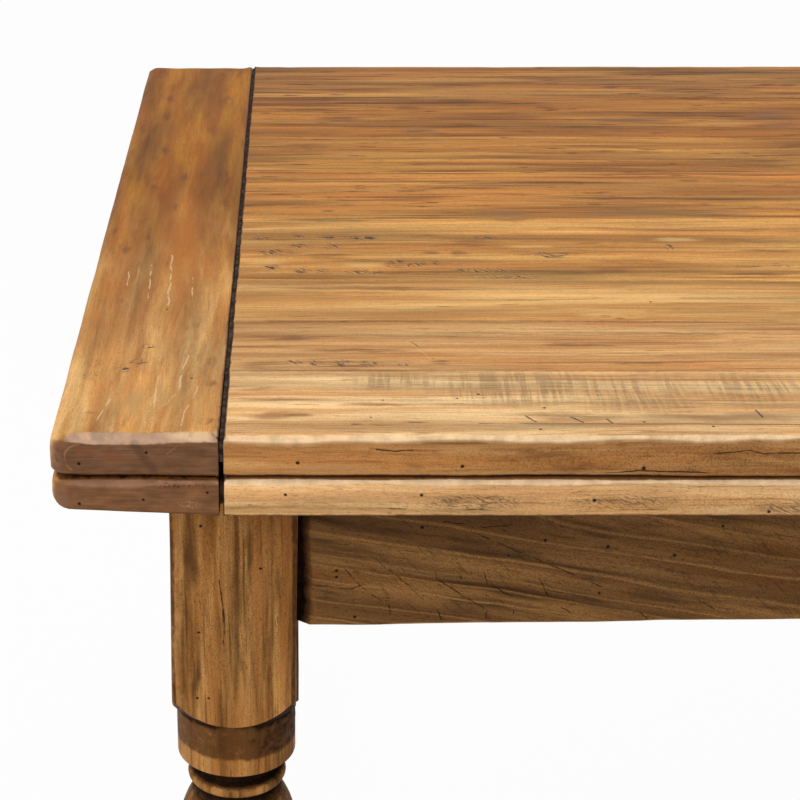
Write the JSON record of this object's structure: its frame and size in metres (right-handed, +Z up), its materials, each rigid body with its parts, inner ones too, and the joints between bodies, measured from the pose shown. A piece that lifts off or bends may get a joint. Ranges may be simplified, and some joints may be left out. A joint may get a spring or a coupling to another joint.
{
  "type": "draw-leaf tavern table",
  "caption": "Rustic plank dining table with breadboard ends, two pull-out leaves on lopers under a loose lift-off top, an apron frame and turned legs with a low stretcher.",
  "frame": {"origin": "on the floor under the middle of the table", "axes": "+X along the table's length to the right, +Y from the front to the back, +Z up"},
  "size_m": [1.626, 0.95, 0.765],
  "materials": {
    "top_pine": "waxed satin",
    "leaf_pine": "waxed satin",
    "leg_pine": "waxed satin",
    "apron_pine": "dark waxed",
    "inner_wood": "bare",
    "felt": "napped",
    "screw_steel": "zinc plated"
  },
  "bodies": {
    "frame": {"front_left_leg": "leg_pine", "front_right_leg": "leg_pine", "rear_left_leg": "leg_pine", "rear_right_leg": "leg_pine", "front_apron": "apron_pine", "rear_apron": "apron_pine", "left_apron": "apron_pine", "right_apron": "apron_pine", "left_guide_rail": "inner_wood", "right_guide_rail": "inner_wood", "centre_boards": "inner_wood", "centre_felts": "felt", "centre_screws": "screw_steel", "front_left_brace": "inner_wood", "front_right_brace": "inner_wood", "rear_left_brace": "inner_wood", "rear_right_brace": "inner_wood", "brace_screws": "screw_steel", "left_stretcher": "leg_pine", "middle_stretcher": "leg_pine", "right_stretcher": "leg_pine", "stretcher_pins": "inner_wood"},
    "top": {"top_board_1": "top_pine", "top_board_2": "top_pine", "top_board_3": "top_pine", "top_board_4": "top_pine", "top_board_5": "top_pine", "top_board_6": "top_pine", "top_board_7": "top_pine", "top_board_8": "top_pine", "top_left_breadboard": "top_pine", "top_right_breadboard": "top_pine", "top_guide_pegs": "inner_wood"},
    "left_leaf": {"left_leaf_board_1": "leaf_pine", "left_leaf_board_2": "leaf_pine", "left_leaf_board_3": "leaf_pine", "left_leaf_board_4": "leaf_pine", "left_leaf_board_5": "leaf_pine", "left_leaf_board_6": "leaf_pine", "left_leaf_board_7": "leaf_pine", "left_leaf_breadboard": "leaf_pine", "left_leaf_front_loper": "inner_wood", "left_leaf_rear_loper": "inner_wood", "left_leaf_stop_pegs": "inner_wood", "left_leaf_screws": "screw_steel"},
    "right_leaf": {"right_leaf_board_1": "leaf_pine", "right_leaf_board_2": "leaf_pine", "right_leaf_board_3": "leaf_pine", "right_leaf_board_4": "leaf_pine", "right_leaf_board_5": "leaf_pine", "right_leaf_board_6": "leaf_pine", "right_leaf_board_7": "leaf_pine", "right_leaf_breadboard": "leaf_pine", "right_leaf_front_loper": "inner_wood", "right_leaf_rear_loper": "inner_wood", "right_leaf_stop_pegs": "inner_wood", "right_leaf_screws": "screw_steel"}
  },
  "joints": [
    {"name": "left_leaf_draw", "type": "slide", "parent": "frame", "child": "left_leaf", "axis": [-1, 0, 0], "range_m": [0, 0.5]},
    {"name": "right_leaf_draw", "type": "slide", "parent": "frame", "child": "right_leaf", "axis": [1, 0, 0], "range_m": [0, 0.5]},
    {"name": "top_lift", "type": "slide", "parent": "frame", "child": "top", "axis": [0, 0, 1], "range_m": [0, 0.03]}
  ]
}
